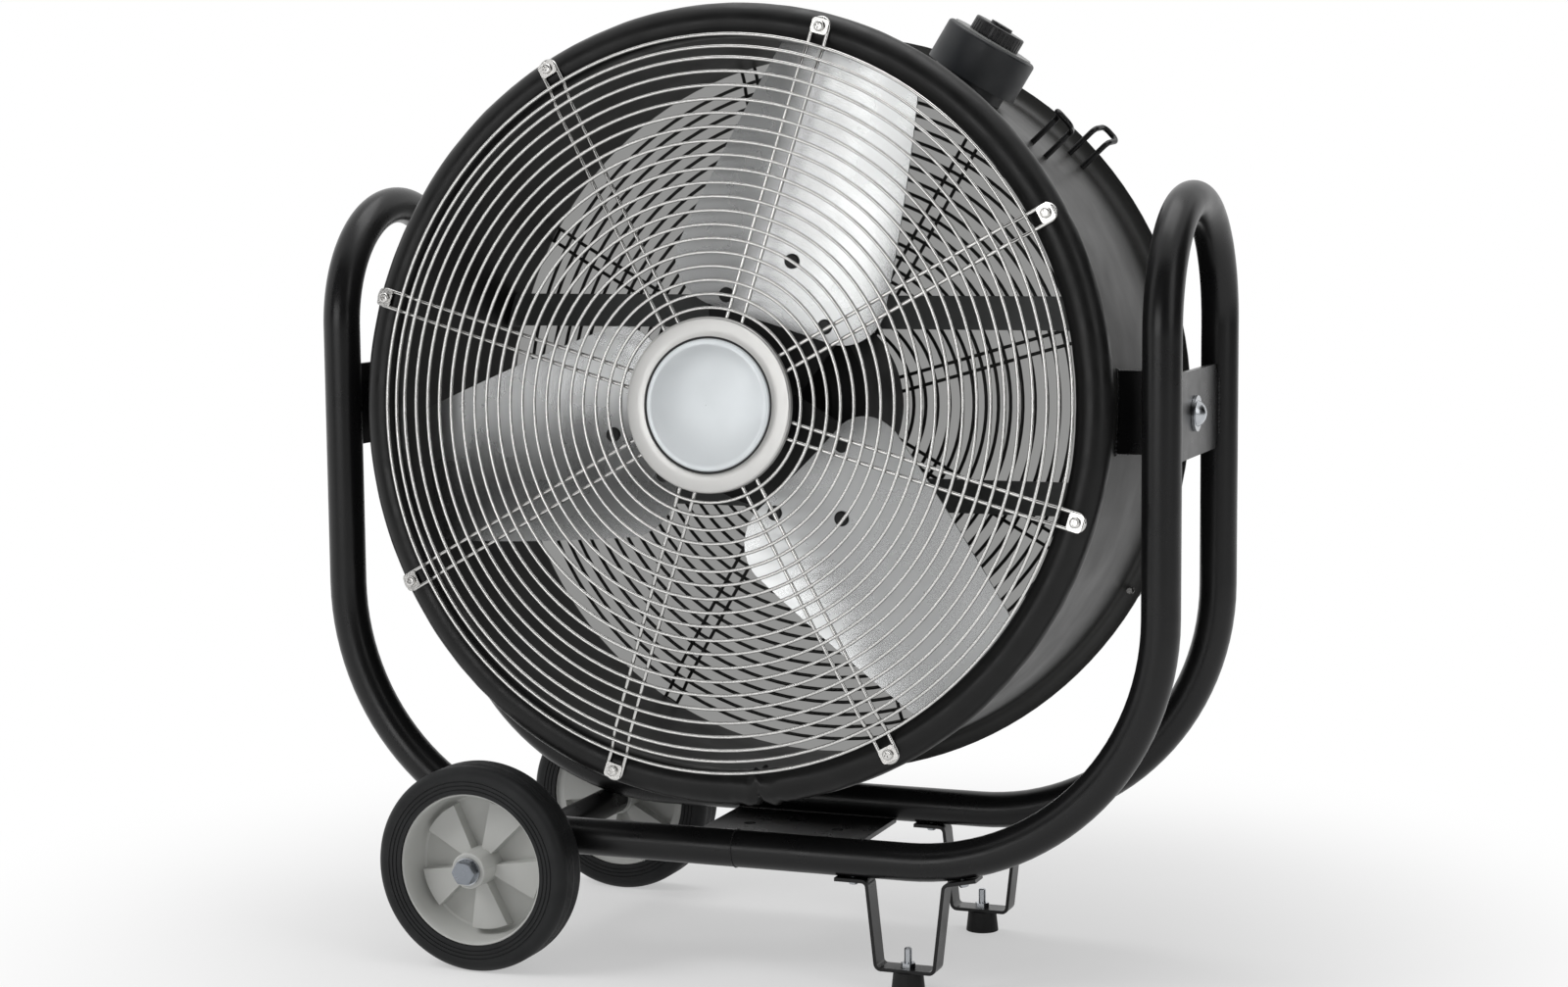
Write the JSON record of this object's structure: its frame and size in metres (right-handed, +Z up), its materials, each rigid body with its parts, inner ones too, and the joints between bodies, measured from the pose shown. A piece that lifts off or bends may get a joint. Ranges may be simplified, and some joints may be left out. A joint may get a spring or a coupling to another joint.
{
  "type": "drum fan",
  "caption": "Wheeled drum fan: a round fan drum with wire guards tilts between the two sides of a bent tube frame with hoop handles, two wheels and rubber feet.",
  "frame": {"origin": "on the floor under the middle of the fan", "axes": "+X to the right seen from the guard's side, +Y to the back, +Z up; the front guard faces -Y"},
  "size_m": [0.77, 0.3746, 0.8239],
  "materials": {
    "frame_paint": "semi-gloss black powder coat",
    "drum_paint": "satin dark grey paint",
    "black_rubber": "soft black rubber",
    "tyre_rubber": "fine-ribbed black rubber",
    "wheel_plastic": "light grey moulded plastic",
    "zinc_steel": "bright zinc-plated steel",
    "stainless_wire": "polished stainless wire and pressing",
    "badge_grey": "blank pale blue-grey disc",
    "black_wire": "black coated wire",
    "motor_paint": "black motor paint",
    "cast_aluminium": "satin aluminium",
    "black_plastic": "black moulded plastic",
    "face_grey": "light grey plate"
  },
  "bodies": {
    "frame": {"front_cradle_tube": "frame_paint", "rear_cradle_tube": "frame_paint", "left_hoop": "frame_paint", "right_hoop": "frame_paint", "left_trunnion_plate": "frame_paint", "right_trunnion_plate": "frame_paint", "base_plate": "frame_paint", "axle_tube": "frame_paint", "axle_plugs": "zinc_steel", "axle_bolts": "zinc_steel", "axle_washers": "zinc_steel", "foot_straps": "frame_paint", "foot_strap_screws": "zinc_steel", "rubber_feet": "black_rubber", "foot_studs": "zinc_steel", "foot_nuts": "zinc_steel"},
    "drum": {"drum_shell": "drum_paint", "front_edge_trim": "black_rubber", "left_trunnion_bracket": "frame_paint", "right_trunnion_bracket": "frame_paint", "pivot_bolts": "zinc_steel", "pivot_washers": "zinc_steel", "pivot_nuts": "zinc_steel", "front_guard_rings": "stainless_wire", "front_guard_ribs": "stainless_wire", "front_guard_clips": "zinc_steel", "front_clip_screws": "zinc_steel", "guard_hub_cap": "stainless_wire", "guard_hub_badge": "badge_grey", "guard_hub_plate": "stainless_wire", "rear_guard_rings": "black_wire", "rear_guard_ribs": "black_wire", "rear_guard_clips": "black_wire", "rear_clip_screws": "zinc_steel", "rear_guard_hub_plate": "black_wire", "upper_motor_bar": "frame_paint", "lower_motor_bar": "frame_paint", "motor_bar_bolts": "zinc_steel", "motor_body": "motor_paint", "motor_front_cover": "cast_aluminium", "motor_rear_cover": "cast_aluminium", "motor_mount_bolts": "zinc_steel", "speed_control_base": "frame_paint", "speed_control_box": "black_plastic", "speed_control_face": "face_grey", "cord_gland": "black_plastic", "front_cord_hook": "frame_paint", "rear_cord_hook": "frame_paint"},
    "impeller": {"motor_shaft": "zinc_steel", "impeller_spider": "cast_aluminium", "impeller_nut": "zinc_steel", "top_blade": "cast_aluminium", "right_blade": "cast_aluminium", "left_blade": "cast_aluminium", "blade_rivets": "cast_aluminium"},
    "speed_knob": {"speed_knob": "black_plastic"},
    "front_wheel": {"front_tyre": "tyre_rubber", "front_wheel_hub": "wheel_plastic"},
    "rear_wheel": {"rear_tyre": "tyre_rubber", "rear_wheel_hub": "wheel_plastic"}
  },
  "joints": [
    {"name": "drum_tilt", "type": "hinge", "parent": "frame", "child": "drum", "pos_m": [0, 0, 0.482], "axis": [1, 0, 0], "range_deg": [-85.8, 94.2]},
    {"name": "impeller_spin", "type": "hinge", "parent": "drum", "child": "impeller", "pos_m": [0, 0, 0.482], "axis": [0, -0.9973, 0.0732], "continuous": true},
    {"name": "speed_knob_turn", "type": "hinge", "parent": "drum", "child": "speed_knob", "pos_m": [0.18856, 0.03078, 0.79193], "axis": [0.518, 0.0626, 0.8531], "range_deg": [0, 270]},
    {"name": "front_wheel_spin", "type": "hinge", "parent": "frame", "child": "front_wheel", "pos_m": [-0.21897, -0.155, 0.09], "axis": [0, 1, 0], "continuous": true},
    {"name": "rear_wheel_spin", "type": "hinge", "parent": "frame", "child": "rear_wheel", "pos_m": [-0.21897, 0.155, 0.09], "axis": [0, 1, 0], "continuous": true}
  ]
}
